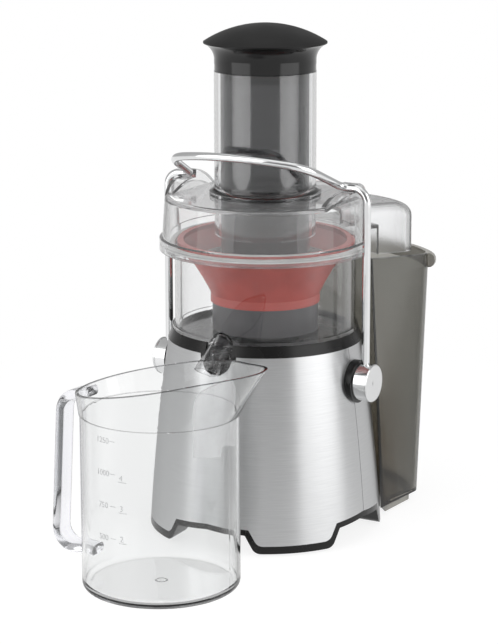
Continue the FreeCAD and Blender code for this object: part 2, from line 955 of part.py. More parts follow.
# A block with the rim's outline, upright to its edge height and rounded in from there to its top.
def rim_block(low, top, edge, inset):
    upright = Part.Face(wedge_wire(low, 1.0, inset)).extrude(point(0, 0, top - edge - low))
    layers = []
    for i in range(chute_edge_layers + 1):
        turn = math.radians(90.0 * i / chute_edge_layers)
        z = top - edge + edge * math.sin(turn)
        layers.append(wedge_wire(z, 1.0, inset + edge * (1 - math.cos(turn))))
    cap = Part.makeLoft(layers, True, True)
    return joined([upright, cap])


# The rounded grip round the back of the rim.
def bin_lip():
    half = bin_lip_height / 2
    layers = []
    for i in range(bin_lip_layers + 1):
        turn = math.radians(180.0 * i / bin_lip_layers - 90)
        out = bin_rim_proud + bin_lip_reach * math.cos(turn)
        layers.append(wedge_wire(bin_rim_height - half + half * math.sin(turn), 1.0, -out))
    behind = block(-span, span, bin_lip_start_y, 2 * span, 0, bin_rim_height + 1)
    return Part.makeLoft(layers, True, True).common(behind)


def pulp_bin():
    top = bin_rim_height
    band = bin_block(top - bin_rim_band, top, -bin_rim_proud)
    plinth = bin_block(0, bin_floor_low + 1, bin_plinth_inset)
    shell = joined([bin_block(bin_floor_low, top, 0), band, bin_lip(), plinth])
    room = bin_block(bin_floor_low + bin_floor_thickness, top + 1, bin_wall)
    under = bin_block(-1, bin_floor_low, bin_plinth_inset + bin_wall)
    shell = shell.cut(room.cut(disc(bin_front_radius + bin_wall, 0, top + 2)))
    shell = shell.cut(under.cut(disc(bin_front_radius + bin_plinth_inset + bin_wall, -2, top)))
    return shell.cut(disc(bin_front_radius, -1, top + 2)).cut(
        disc(bin_front_radius + bin_plinth_inset, -1, bin_floor_low))


keep("pulp_bin", pulp_bin())


# Lid with its pulp chute and latch humps, feed tube and seal

chute_low = bin_rim_height + chute_gap
seat_low = bowl_top
seat_high = bowl_top + 1.5
rod_seat = arm_shoulder_height - arm_rod_radius - fit_gap
lid_inside_radius = lid_side_radius - 1.6 * lid_wall


def chute_outside():
    chute = rim_block(chute_low, chute_top, chute_edge, chute_inset)
    return chute.cut(disc(bin_front_radius + chute_inset, chute_low - 1, chute_mouth_low - lid_wall))


def chute_inside():
    inset = chute_inset + lid_wall
    room = rim_block(chute_low - 1, chute_top - lid_wall, chute_edge - lid_wall, inset)
    return room.cut(disc(bin_front_radius + inset, chute_low - 2, chute_mouth_low))


hump_low = lid_top - lid_edge
lip_top = rod_seat + arm_rod_radius + hump_lip_rise
lip_y = arm_rod_radius + fit_gap


# The two arcs of a latch hump's outline, before and behind the rod.
def hump_arcs(x):
    front_rise = rod_seat - hump_low
    back_rise = lip_top - hump_low
    front = Part.Arc(point(x, -hump_half_length, hump_low),
                     point(x, -hump_half_length * 0.55, hump_low + front_rise * 0.72),
                     point(x, -arm_rod_radius, rod_seat))
    back = Part.Arc(point(x, lip_y + hump_lip_width, lip_top),
                    point(x, hump_half_length * 0.62, hump_low + back_rise * 0.66),
                    point(x, hump_half_length, hump_low))
    return front, back


def latch_hump():
    x = hump_inner_x
    front, back = hump_arcs(x)
    lip = [front.EndPoint, point(x, lip_y, rod_seat), point(x, lip_y + 1, lip_top), back.StartPoint]
    edges = [front.toShape()]
    for i in range(len(lip) - 1):
        edges.append(Part.LineSegment(lip[i], lip[i + 1]).toShape())
    edges.append(back.toShape())
    edges.append(Part.LineSegment(back.EndPoint, front.StartPoint).toShape())
    solid = Part.Face(Part.Wire(edges)).extrude(point(lid_top_radius - x + 1, 0, 0))
    return solid.common(disc(lid_top_radius, hump_low - 1, lip_top + 1))


def hump_hollow():
    x = hump_inner_x + lid_wall
    high = rod_seat - lid_wall
    room = block(x, lid_top_radius, -hump_half_length, hump_half_length, hump_low - 1, high)
    for arc in hump_arcs(x):
        circle = arc.toShape().Curve
        within = bar_x(circle.Radius - lid_wall, x, lid_top_radius, circle.Center.y, circle.Center.z)
        room = room.common(within)
    return room.common(disc(lid_top_radius - lid_wall, hump_low - 2, high + 1))


# The lid's turned outside, from an inner radius out and grown by a gap.
def lid_blank(inner, gap):
    shoulder = lid_top - lid_edge
    return turned([
        (inner, lid_flange_low - gap),
        (lid_flange_radius + gap, lid_flange_low - gap),
        (lid_flange_radius + gap, lid_flange_high + gap),
        (lid_side_radius + gap, lid_flange_high + 1 + gap),
        (lid_top_radius + gap, shoulder),
        (lid_top_radius + gap - lid_edge * 0.3, lid_top + gap - lid_edge * 0.3,
         lid_top_radius - lid_edge, lid_top + gap),
        (inner, lid_top + gap),
    ])


# The chute is moulded on the back of the lid.
def pulp_chute():
    return chute_outside().cut(chute_inside()).cut(lid_blank(0, slip_gap))


def lid_cover():
    shoulder = lid_top - lid_edge
    cavity = turned([
        (0, lid_flange_low - 1),
        (bowl_rim_radius + 2 * fit_gap, lid_flange_low - 1),
        (bowl_rim_radius + 2 * fit_gap, seat_high),
        (lid_inside_radius, seat_high),
        (lid_inside_radius - 0.6, shoulder),
        (lid_top_radius - lid_edge - lid_wall / 2, lid_top - lid_wall),
        (0, lid_top - lid_wall),
    ])
    hump = latch_hump()
    hollow = hump_hollow()
    lid = joined([lid_blank(tube_radius + fit_gap, 0), hump, opposite(hump)])
    return lid.cut(cavity).cut(chute_inside()).cut(hollow).cut(opposite(hollow))


keep("lid_cover", lid_cover())
keep("pulp_chute", pulp_chute())
seal_inner = lid_inside_radius - seal_width
keep("lid_seal", joined([ring(lid_inside_radius - slip_gap, seal_inner, seat_low, seat_high + 1),
                         ring(bowl_rim_radius, seal_inner, seat_low, seat_high)]))


def feed_tube():
    foot_high = lid_top + tube_foot_height
    return turned([
        (tube_radius - tube_wall, tube_low),
        (tube_radius, tube_low),
        (tube_radius, lid_top),
        (tube_foot_radius, lid_top),
        (tube_foot_radius, lid_top + tube_foot_edge),
        (tube_radius + 1.2, lid_top + tube_foot_edge + 2, tube_radius, foot_high),
        (tube_radius, tube_top),
        (tube_radius - tube_wall, tube_top),
    ])


keep("feed_tube", feed_tube())


# Pusher

band_low = tube_top + 0.4
band_high = band_low + band_height
handle_high = band_high + handle_height
spigot_radius = pusher_radius - pusher_wall - slip_gap


def pusher_handle():
    neck_high = band_high + handle_neck_height
    inner = handle_neck_radius - handle_wall
    flare_radius = handle_neck_radius + (cap_radius - handle_neck_radius) * 0.3
    flare_height = neck_high + (handle_high - neck_high) * 0.6
    return turned([
        (0, band_high),
        (handle_neck_radius, band_high),
        (handle_neck_radius, neck_high),
        (flare_radius, flare_height, cap_radius, handle_high),
        (inner, handle_high),
        (inner, band_high + handle_wall),
        (0, band_high + handle_wall),
    ])


def pusher_cap():
    edge_high = handle_high + cap_edge
    inner = handle_neck_radius - handle_wall - slip_gap
    return turned([
        (0, handle_high - spigot_length),
        (inner, handle_high - spigot_length),
        (inner, handle_high),
        (cap_radius, handle_high),
        (cap_radius, edge_high),
        dome(cap_radius, edge_high, cap_dome),
    ])


keep("pusher_tube", turned([
    (0, pusher_low),
    (pusher_radius, pusher_low),
    (pusher_radius, band_low),
    (pusher_radius - pusher_wall, band_low),
    (pusher_radius - pusher_wall, pusher_low + pusher_floor),
    (0, pusher_low + pusher_floor),
]))
keep("pusher_collar", disc(band_radius, band_low, band_high).fuse(
    disc(spigot_radius, band_low - spigot_length, band_low)).removeSplitter())
keep("pusher_handle", pusher_handle())
keep("pusher_cap", pusher_cap())


# Locking arm on its two pivots

def bow_height(y):
    return arm_shoulder_height - arm_bow_slope * y


arm_foot = pivot_height + pin_radius + slip_gap


def locking_arm():
    half = [point(arm_leg_x, 0, arm_foot),
            point(arm_leg_x, 0, arm_shoulder_height),
            point(arm_shoulder_x, 0, arm_shoulder_height),
            point(arm_bow_x, arm_bow_y, bow_height(arm_bow_y))]
    front = point(0, arm_bow_front_y, bow_height(arm_bow_front_y))
    other = [point(-p.x, p.y, p.z) for p in reversed(half)]
    bends = [arm_leg_bend, arm_shoulder_bend, arm_bow_bend]
    path = rounded_path(half + [front] + other, bends + [arm_front_bend] + bends[::-1])
    section = Part.Wire(Part.Circle(half[0], up, arm_rod_radius).toShape())
    return path.makePipeShell([section], True, True)


def upright_turned(steps):
    solid = turned(steps)
    solid.rotate(axis_foot, point(0, 1, 0), 90)
    solid.translate(point(0, 0, pivot_height))
    return solid


arm = locking_arm()
keep("locking_arm", arm)

drum_end = drum_start_x + drum_length
pin_end = drum_start_x + drum_length * 0.75


def arm_hub():
    drum = bar_x(drum_radius, drum_start_x, drum_end, 0, pivot_height)
    drum = drum.cut(bar_x(pin_radius, 0, pin_end, 0, pivot_height))
    socket = disc(arm_rod_radius, arm_foot, pivot_height + 2 * drum_radius, arm_leg_x, 0)
    return drum.cut(socket)


def hub_cap():
    rim = drum_end + drum_cap_thickness
    return upright_turned([
        (0, drum_end),
        (drum_cap_radius, drum_end),
        (drum_cap_radius, rim - drum_cap_thickness * 0.3),
        (drum_cap_radius - drum_cap_thickness * 0.3, rim),
        dome(drum_cap_radius - drum_cap_thickness * 0.3, rim, -drum_cap_dish),
    ])


pin_stop = bush_inner_x - fit_gap


def pivot_pin(inner_end):
    pin = bar_x(pin_radius, inner_end, pin_end, 0, pivot_height)
    return joined([pin, bar_x(pin_collar_radius, pin_stop - pin_collar_width, pin_stop, 0, pivot_height)])


def arm_bush():
    face = drum_start_x - fit_gap
    flange = bar_x(bush_flange_radius, body_top_radius / 2, face, 0, pivot_height).cut(body_blank(0))
    sleeve = bar_x(bush_radius, bush_inner_x, face, 0, pivot_height)
    wall = body_radius(pivot_height) - shell_thickness
    clamp = bar_x(bush_clamp_radius, wall - 2 * bush_clamp_width, wall, 0, pivot_height)
    clamp = clamp.common(body_blank(shell_thickness + slip_gap))
    return joined([flange, sleeve, clamp]).cut(bar_x(pin_radius + running_gap, 0, span, 0, pivot_height))


keep("arm_hubs", group([arm_hub(), opposite(arm_hub())]))
keep("hub_caps", group([hub_cap(), opposite(hub_cap())]))
right_pin = pivot_pin(pin_stop - pin_collar_width)
left_pin = opposite(pivot_pin(cam_inner_x))
keep("pivot_pins", group([right_pin, left_pin]))
keep("arm_bushes", group([arm_bush(), opposite(arm_bush())]))


# Safety interlock: a cam of constant lead on the left pin lets a plunger rise as the arm opens

def cam_point(degrees):
    turn = math.radians(degrees)
    radius = cam_radius - cam_lead * turn
    return point(-cam_inner_x - cam_width, -radius * math.sin(turn), pivot_height - radius * math.cos(turn))


def interlock_cam():
    last = arm_open_angle + cam_run_on
    steps = 8
    curve = Part.BSplineCurve()
    curve.interpolate([cam_point(-cam_run_on + (last + cam_run_on) * i / steps) for i in range(steps + 1)])
    crown = point(-cam_inner_x - cam_width, 0, pivot_height + cam_radius * 0.8)
    back = Part.Arc(cam_point(last), crown, cam_point(-cam_run_on))
    face = Part.Face(Part.Wire([curve.toShape(), back.toShape()]))
    cam = face.extrude(point(cam_width, 0, 0))
    return cam.cut(bar_x(pin_radius, -span, 0, 0, pivot_height))


plunger_tip = pivot_height - cam_radius - cam_gap


def interlock_plunger():
    shoulder = plunger_tip - plunger_tip_height
    body = disc(plunger_radius, plunger_tip - plunger_length, shoulder, interlock_x, 0)
    foot = point(interlock_x, 0, shoulder)
    return joined([body, Part.makeCone(plunger_radius, plunger_tip_radius, plunger_tip_height, foot)])


def interlock_switch():
    half = interlock_box_half
    box = block(interlock_x - half, interlock_x + half, -half, interlock_rib_y,
                interlock_box_low, interlock_box_high)
    well_low = plunger_tip - plunger_length - 1
    return box.cut(disc(plunger_radius + running_gap, well_low, interlock_box_high + 1, interlock_x, 0))


keep("interlock_cam", interlock_cam())
keep("interlock_plunger", interlock_plunger())
keep("interlock_switch", interlock_switch())


# Speed switch and cord gland

rocker_pivot = switch_wall - rocker_pivot_depth


def rocker_pins(extra):
    half = rocker_half_width + 1.5
    return bar_y(rocker_pin_radius + extra, -half - extra, half + extra, rocker_pivot, switch_height)


def switch_bezel():
    face = switch_wall + switch_bezel_proud
    flange = bar_x(switch_bezel_radius, switch_wall - 5, face, 0, switch_height).cut(body_blank(0))
    body = bar_x(switch_body_radius, switch_wall - switch_depth, face, 0, switch_height)
    half = rocker_half_width + fit_gap
    slot = block(rocker_pivot - 2 * rocker_tail, face + 1, -half, half,
                 switch_height - rocker_slot_half_height, switch_height + rocker_slot_half_height)
    return joined([flange, body]).cut(slot).cut(rocker_pins(running_gap))


def speed_rocker():
    face = switch_wall + rocker_proud
    y = -rocker_half_width
    tail = rocker_pivot - rocker_tail
    outline = [(tail, -rocker_half_height + 1), (face - 1.5, -rocker_half_height),
               (face, 0), (face - 1.5, rocker_half_height), (tail, rocker_half_height - 1)]
    corners = [point(x, y, switch_height + z) for x, z in outline]
    return joined([extruded(corners, point(0, 2 * rocker_half_width, 0)), rocker_pins(0)])


def cord_gland():
    flange = bar_x(gland_flange_radius, gland_wall - 5, gland_wall + 3, 0, gland_height).cut(body_blank(0))
    sleeve = bar_x(gland_radius, gland_wall - gland_depth, gland_wall + gland_proud, 0, gland_height)
    return joined([flange, sleeve]).cut(bar_x(gland_bore_radius, 0, span, 0, gland_height))


keep("speed_switch_bezel", spun(switch_bezel(), switch_angle))
keep("speed_rocker", spun(speed_rocker(), switch_angle))
keep("cord_gland", spun(cord_gland(), gland_angle))


# Jug with a tilted, lipped rim, drawn about its own axis and then put in its place

def jug_rim(inset):
    points = []
    for i in range(jug_rim_points):
        turn = 2 * math.pi * i / jug_rim_points
        away = min(turn, 2 * math.pi - turn)
        reach = jug_rim_radius + jug_lip_reach * math.exp(-(away / jug_lip_spread) ** 2) - inset
        x = reach * math.cos(turn)
        points.append(point(x, reach * math.sin(turn), jug_rim_height + jug_rim_slope * x))
    return closed_curve(points)


def closed_curve(points):
    curve = Part.BSplineCurve()
    curve.interpolate(points, PeriodicFlag=True)
    return Part.Wire(curve.toShape())


def round_wire(radius, z):
    turns = [2 * math.pi * i / jug_rim_points for i in range(jug_rim_points)]
    return closed_curve([point(radius * math.cos(t), radius * math.sin(t), z) for t in turns])


ring_radius = jug_radius + jug_ring_step
upper_wall = Part.makeLoft([round_wire(ring_radius, jug_ring_height), jug_rim(0)], True, True)


def jug_body():
    inner = jug_radius - jug_wall
    edge = jug_bottom_edge
    corner = edge * (1 - math.sqrt(0.5))
    lower = turned([
        (0, 0),
        (jug_radius - edge, 0),
        (jug_radius - corner, corner, jug_radius, edge),
        (jug_radius, jug_ring_height),
        (inner, jug_ring_height),
        (inner, edge + jug_floor),
        (inner - corner, corner + jug_floor, inner - edge, jug_floor),
        (0, jug_floor),
    ])
    room_ends = [round_wire(ring_radius - jug_wall, jug_ring_height), jug_rim(jug_wall)]
    room = Part.makeLoft(room_ends, True, True)
    return joined([lower, upper_wall.cut(room)])


def jug_handle():
    root = -jug_radius + jug_wall
    corners = [point(root, 0, jug_handle_high + jug_handle_rise),
               point(-jug_handle_top_reach, 0, jug_handle_high),
               point(-jug_handle_foot_reach, 0, jug_handle_low),
               point(root, 0, jug_handle_low)]
    path = rounded_path(corners, [jug_handle_bend, jug_handle_bend])
    half = jug_handle_thickness / 2 - jug_handle_edge
    wide = jug_handle_width / 2 - jug_handle_edge
    lean = (corners[1] - corners[0]).normalize()
    across = point(-lean.z, 0, lean.x) * half
    aside = point(0, wide, 0)
    around_root = [across + aside, across - aside, -across - aside, -across + aside, across + aside]
    section = Part.makePolygon([corners[0] + offset for offset in around_root]).makeOffset2D(jug_handle_edge)
    handle = path.makePipeShell([section], True, True)
    return handle.cut(disc(jug_radius, -1, jug_ring_height)).cut(upper_wall)


def edges_across(plate):
    return [e for e in plate.Edges if e.BoundBox.YLength < 0.01 and e.BoundBox.ZLength < 0.01]


def froth_separator():
    inner = jug_radius - jug_wall
    half = math.sqrt(inner ** 2 - (separator_x + separator_thickness) ** 2) - fit_gap
    step_y = separator_notch_start - half
    step_low = separator_low - separator_slope * separator_notch_start
    notch_y = step_y + separator_notch_lean
    far_low = separator_low - separator_slope * 2 * half + separator_notch_height
    outline = [(-half, separator_high), (-half, separator_low), (step_y, step_low),
               (notch_y, step_low + separator_notch_height), (half, far_low), (half, separator_high)]
    plate = extruded([point(separator_x, y, z) for y, z in outline], point(separator_thickness, 0, 0))
    notch_corner = [e for e in edges_across(plate) if abs(e.BoundBox.YMin - notch_y) < 0.01]
    plate = plate.makeFillet(separator_notch_round, notch_corner)
    top_corners = [e for e in edges_across(plate) if e.BoundBox.ZMin > separator_high - 1]
    return plate.makeFillet(separator_corner, top_corners)


jug_pieces = {"jug_body": jug_body(), "jug_handle": jug_handle(), "froth_separator": froth_separator()}
for name, shape in jug_pieces.items():
    shape.translate(point(jug_x, jug_y, 0))
    keep(name, shape)


# Put the middle of the footprint at the origin and write one file for each piece

box = group(list(pieces.values())).optimalBoundingBox(False, False)
to_origin = point(-box.Center.x, -box.Center.y, -box.ZMin)
os.makedirs("parts", exist_ok=True)
for name, shape in pieces.items():
    shape.translate(to_origin)
    shape.exportStep("parts/" + name + ".step")
print("motor axis at", round(to_origin.x, 3), round(to_origin.y, 3))
print("size", round(box.XLength, 1), round(box.YLength, 1), round(box.ZLength, 1), "pieces", len(pieces))
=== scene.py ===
import bpy
import bmesh
import json
import math
from mathutils import Matrix, Vector


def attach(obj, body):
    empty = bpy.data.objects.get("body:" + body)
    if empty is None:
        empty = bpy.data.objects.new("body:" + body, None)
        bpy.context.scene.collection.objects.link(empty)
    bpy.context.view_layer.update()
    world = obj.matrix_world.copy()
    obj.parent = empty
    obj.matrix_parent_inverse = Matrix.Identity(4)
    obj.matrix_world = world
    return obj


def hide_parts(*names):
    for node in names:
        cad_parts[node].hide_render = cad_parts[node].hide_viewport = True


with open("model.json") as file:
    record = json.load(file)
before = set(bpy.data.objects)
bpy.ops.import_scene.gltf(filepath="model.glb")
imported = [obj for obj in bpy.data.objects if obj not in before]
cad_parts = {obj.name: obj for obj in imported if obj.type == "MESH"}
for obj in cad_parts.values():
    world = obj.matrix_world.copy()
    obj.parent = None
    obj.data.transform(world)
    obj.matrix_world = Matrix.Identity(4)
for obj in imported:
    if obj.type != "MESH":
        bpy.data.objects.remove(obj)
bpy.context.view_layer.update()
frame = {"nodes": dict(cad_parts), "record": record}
cad = frame["nodes"]
scene = bpy.context.scene
motorY = 0.0325  # the motor axis stands at x 0 and this y, and every turned piece is drawn about it
print("frame loaded,", len(cad), "nodes")


# camera at the photo's viewpoint
view = {"turn": 28.6, "tilt": 11.63, "distance": 1.8014, "lookAt": (0, motorY, 0.216),
        "lens": 125.78, "shift": (-0.0253, -0.0958), "clipEnd": 30}
lightBounces = 40  # the lid, feed tube and pusher are six clear walls one behind the other

turn, tilt = math.radians(view["turn"]), math.radians(view["tilt"])
towardsCamera = Vector((math.sin(turn) * math.cos(tilt), -math.cos(turn) * math.cos(tilt), math.sin(tilt)))
lens = bpy.data.cameras.new("photoLens")
lens.lens = view["lens"]
lens.shift_x, lens.shift_y = view["shift"]
lens.clip_end = view["clipEnd"]
photoCamera = bpy.data.objects.new("photoCamera", lens)
photoCamera.location = Vector(view["lookAt"]) + towardsCamera * view["distance"]
photoCamera.rotation_euler = (math.pi / 2 - tilt, 0, turn)
scene.collection.objects.link(photoCamera)
scene.camera = photoCamera
scene.view_settings.view_transform = "Standard"
scene.cycles.max_bounces = lightBounces
scene.cycles.transmission_bounces = lightBounces
scene.cycles.transparent_max_bounces = lightBounces
print("camera set")


# small helpers for the node trees
def addNode(tree, kind, **settings):
    node = tree.nodes.new(kind)
    for name, value in settings.items():
        setattr(node, name, value)
    return node


def wire(tree, start, end):
    tree.links.new(start, end)


def startFinish(name, colour, roughness, metallic=0.0):
    finish = bpy.data.materials.new(name)
    finish.use_nodes = True
    shader = finish.node_tree.nodes["Principled BSDF"]
    shader.inputs["Base Color"].default_value = (*colour, 1)
    shader.inputs["Roughness"].default_value = roughness
    shader.inputs["Metallic"].default_value = metallic
    return finish, finish.node_tree, shader


def objectPlace(tree, scale=(1, 1, 1), centre=(0, 0, 0)):
    place = addNode(tree, "ShaderNodeTexCoord")
    move = addNode(tree, "ShaderNodeVectorMath", operation="SUBTRACT")
    move.inputs[1].default_value = centre
    stretch = addNode(tree, "ShaderNodeVectorMath", operation="MULTIPLY")
    stretch.inputs[1].default_value = scale
    wire(tree, place.outputs["Object"], move.inputs[0])
    wire(tree, move.outputs[0], stretch.inputs[0])
    return stretch.outputs[0]


def splitPlace(tree, place):
    split = addNode(tree, "ShaderNodeSeparateXYZ")
    wire(tree, place, split.inputs[0])
    return split.outputs


# grain is how many patches go to a metre along each axis
def noise(tree, grain, detail=3.0, rough=0.5):
    cloud = addNode(tree, "ShaderNodeTexNoise")
    cloud.inputs["Scale"].default_value = 1
    cloud.inputs["Detail"].default_value = detail
    cloud.inputs["Roughness"].default_value = rough
    wire(tree, objectPlace(tree, grain), cloud.inputs["Vector"])
    return cloud.outputs["Fac"]


wavePeriod = 0.314  # length of one band where the wave texture's scale is 1


def waves(tree, place, pitch, distortion, **settings):
    bands = addNode(tree, "ShaderNodeTexWave", **settings)
    bands.inputs["Scale"].default_value = wavePeriod / pitch
    bands.inputs["Distortion"].default_value = distortion
    wire(tree, place, bands.inputs["Vector"])
    return bands.outputs["Fac"]


def spread(tree, value, low, high, fromLow=0.3, fromHigh=0.7):
    span = addNode(tree, "ShaderNodeMapRange")
    span.inputs["From Min"].default_value = fromLow
    span.inputs["From Max"].default_value = fromHigh
    span.inputs["To Min"].default_value = low
    span.inputs["To Max"].default_value = high
    wire(tree, value, span.inputs["Value"])
    return span.outputs["Result"]


def shade(tree, value, first, second, fromLow=0.3, fromHigh=0.7):
    ramp = addNode(tree, "ShaderNodeValToRGB")
    stops = ramp.color_ramp.elements
    stops[0].position, stops[1].position = fromLow, fromHigh
    stops[0].color, stops[1].color = (*first, 1), (*second, 1)
    wire(tree, value, ramp.inputs["Fac"])
    return ramp.outputs["Color"]


def toned(colour, share):
    return [level * share for level in colour]


def sums(tree, operation, *values):
    step = addNode(tree, "ShaderNodeMath", operation=operation)
    for place, value in enumerate(values):
        if isinstance(value, (int, float)):
            step.inputs[place].default_value = value
        else:
            wire(tree, value, step.inputs[place])
    return step.outputs[0]


# a mix node has sockets for each kind of value, and those for colours are 6, 7 and 2
def blendColour(tree, share, plain, other):
    blend = addNode(tree, "ShaderNodeMix", data_type="RGBA")
    blend.inputs[6].default_value = (*plain, 1)
    wire(tree, share, blend.inputs[0])
    wire(tree, other, blend.inputs[7])
    return blend.outputs[2]


def mixShaders(tree, share, first, second):
    blend = addNode(tree, "ShaderNodeMixShader")
    wire(tree, share, blend.inputs[0])
    wire(tree, first.outputs[0], blend.inputs[1])
    wire(tree, second.outputs[0], blend.inputs[2])
    return blend


def relief(tree, shader, height, depth, strength):
    bump = addNode(tree, "ShaderNodeBump")
    bump.inputs["Strength"].default_value = strength
    bump.inputs["Distance"].default_value = depth
    wire(tree, height, bump.inputs["Height"])
    wire(tree, bump.outputs["Normal"], shader.inputs["Normal"])


# lamps reach what stands behind clear plastic, as they do through a real wall
def passLamps(finish, tint):
    tree = finish.node_tree
    path = addNode(tree, "ShaderNodeLightPath")
    clearWay = addNode(tree, "ShaderNodeBsdfTransparent")
    clearWay.inputs["Color"].default_value = (*tint, 1)
    wall = mixShaders(tree, path.outputs["Is Shadow Ray"], tree.nodes["Principled BSDF"], clearWay)
    wire(tree, wall.outputs[0], tree.nodes["Material Output"].inputs["Surface"])


# brushed sheet steel, grain running round the body so that light spreads up and down
brushed = {"colour": (0.66, 0.665, 0.67), "edge": (0.68, 0.68, 0.68, 1), "roughness": (0.34, 0.38),
           "grain": (45, 45, 1500), "detail": 4.0, "fineGrain": (90, 90, 6500), "fineDetail": 2.0,
           "rough": 0.6, "tone": (0.94, 1.05), "stretch": 0.85, "quarterTurn": 0.25,
           "depth": 0.00003, "strength": 0.015}


def brushedSteel(name):
    finish, tree, shader = startFinish(name, brushed["colour"], brushed["roughness"][0], metallic=1.0)
    coarse = noise(tree, brushed["grain"], brushed["detail"], brushed["rough"])
    fine = noise(tree, brushed["fineGrain"], brushed["fineDetail"], brushed["rough"])
    dark, pale = [toned(brushed["colour"], share) for share in brushed["tone"]]
    wire(tree, shade(tree, coarse, dark, pale), shader.inputs["Base Color"])
    wire(tree, spread(tree, coarse, *brushed["roughness"]), shader.inputs["Roughness"])
    shader.inputs["Anisotropic"].default_value = brushed["stretch"]
    shader.inputs["Anisotropic Rotation"].default_value = brushed["quarterTurn"]
    shader.inputs["Specular Tint"].default_value = brushed["edge"]
    relief(tree, shader, fine, brushed["depth"], brushed["strength"])
    return finish


# moulded plastic and rubber with a fine spark-eroded grain
moulded = {"grain": (2600, 2600, 2600), "patches": (35, 35, 35), "detail": 2.0, "tone": (0.85, 1.15),
           "wear": (0.88, 1.12), "strength": 0.4}


def mouldedPlastic(name, colour, roughness, depth, sheen=0.5):
    finish, tree, shader = startFinish(name, colour, roughness)
    grain = noise(tree, moulded["grain"], moulded["detail"])
    patches = noise(tree, moulded["patches"], moulded["detail"])
    dark, pale = [toned(colour, share) for share in moulded["tone"]]
    smooth, dull = [roughness * share for share in moulded["wear"]]
    wire(tree, shade(tree, patches, dark, pale), shader.inputs["Base Color"])
    wire(tree, spread(tree, patches, smooth, dull), shader.inputs["Roughness"])
    shader.inputs["Specular IOR Level"].default_value = sheen
    relief(tree, shader, grain, depth, moulded["strength"])
    return finish


# clear and smoky mouldings, real walls that bend what is behind them
flow = {"grain": (30, 30, 9), "detail": 2.0}


def clearMoulding(name, tint, roughness, index, shadow, clear=1.0):
    finish, tree, shader = startFinish(name, tint, roughness[0])
    drift = noise(tree, flow["grain"], flow["detail"])
    wire(tree, spread(tree, drift, *roughness), shader.inputs["Roughness"])
    shader.inputs["Transmission Weight"].default_value = clear
    shader.inputs["IOR"].default_value = index
    passLamps(finish, shadow)
    return finish


# the bin's smoke is grey with a painted reflection: brown streaks, darker low down where it closes on the base;
# it is pale in the grip bead and foot
smoke = {"grey": (0.35, 0.345, 0.32), "brown": (0.155, 0.115, 0.07), "fullBrown": 0.85,
         "roughness": (0.12, 0.2), "index": 1.45, "shadow": (0.3, 0.29, 0.26),
         "nearBase": (0.084, 0.136), "low": (0.06, 0.20), "bands": (110, 110, 1.5), "streaks": (0.55, 1.1),
         "bead": (0.63, 0.61, 0.56), "beadClear": 0.3, "beadHeight": (0.1965, 0.1985),
         "beadStart": (0.1515, 0.1535), "footHeight": (0.0074, 0.0082)}


def smokyBin(name):
    finish = clearMoulding(name, smoke["grey"], smoke["roughness"], smoke["index"], smoke["shadow"])
    tree = finish.node_tree
    y, z = splitPlace(tree, objectPlace(tree))[1:]
    # painted reflection: brown streaks near the base and low down stand in for what the bin's rounded corner
    # reflects and bends
    near = spread(tree, y, 1, 0, *smoke["nearBase"])
    low = spread(tree, z, 1, 0, *smoke["low"])
    streaks = spread(tree, noise(tree, smoke["bands"]), *smoke["streaks"])
    paintedReflection = sums(tree, "MULTIPLY", sums(tree, "MULTIPLY", near, low), streaks)
    body = shade(tree, paintedReflection, smoke["grey"], smoke["brown"], 0, smoke["fullBrown"])
    bead = sums(tree, "MULTIPLY", spread(tree, z, 0, 1, *smoke["beadHeight"]),
                spread(tree, y, 0, 1, *smoke["beadStart"]))
    foot = spread(tree, z, 1, 0, *smoke["footHeight"])
    rest = sums(tree, "SUBTRACT", 1, sums(tree, "MAXIMUM", bead, foot))
    shader = tree.nodes["Principled BSDF"]
    wire(tree, blendColour(tree, rest, smoke["bead"], body), shader.inputs["Base Color"])
    wire(tree, spread(tree, rest, smoke["beadClear"], 1, 0, 1), shader.inputs["Transmission Weight"])
    return finish


# the separator is so thin that it only veils what is behind it
veil = {"colour": (0.80, 0.80, 0.81), "weight": (0.27, 0.31), "roughness": (0.05, 0.12), "grain": (60, 60, 25)}


def thinSheet(name):
    finish, tree, shader = startFinish(name, veil["colour"], veil["roughness"][0])
    drift = noise(tree, veil["grain"])
    wire(tree, spread(tree, drift, *veil["weight"]), shader.inputs["Alpha"])
    wire(tree, spread(tree, drift, *veil["roughness"]), shader.inputs["Roughness"])
    return finish


# the jug's wall, with a painted dark shade line under its tilted rim
jugRim = {"wall": (0.945, 0.95, 0.95), "roughness": (0.0, 0.03), "index": 1.4, "shadow": (0.92, 0.92, 0.92),
          "edge": (0.30, 0.30, 0.31), "height": 0.15790, "slope": 0.183, "depth": (0.0009, 0.0004)}


def jugStyrene(name):
    finish = clearMoulding(name, jugRim["wall"], jugRim["roughness"], jugRim["index"], jugRim["shadow"])
    tree = finish.node_tree
    x, _, z = splitPlace(tree, objectPlace(tree))
    # painted shade: the wall turns dark grey in a thin band just under the tilted rim plane
    rimPlane = sums(tree, "MULTIPLY_ADD", x, jugRim["slope"], jugRim["height"])
    under = sums(tree, "SUBTRACT", rimPlane, z)
    edge = spread(tree, under, 0, 1, *jugRim["depth"])
    wire(tree, shade(tree, edge, jugRim["wall"], jugRim["edge"], 0, 1),
         tree.nodes["Principled BSDF"].inputs["Base Color"])
    return finish


# plain metals that are turned, drawn, plated or cast
metalMarks = {"detail": 3.0, "rough": 0.55, "dark": 0.94}


def smoothMetal(name, colour, roughness, grain, depth, strength=0.3):
    finish, tree, shader = startFinish(name, colour, roughness[0], metallic=1.0)
    marks = noise(tree, grain, metalMarks["detail"], metalMarks["rough"])
    dark = toned(colour, metalMarks["dark"])
    wire(tree, shade(tree, marks, dark, colour), shader.inputs["Base Color"])
    wire(tree, spread(tree, marks, *roughness), shader.inputs["Roughness"])
    relief(tree, shader, marks, depth, strength)
    return finish


# stacked sheets and wound wire, drawn as fine level bands
layers = {"distortion": 0.3, "gapEdge": (0.05, 0.45), "gapRoughness": 1.3, "strength": 0.6}


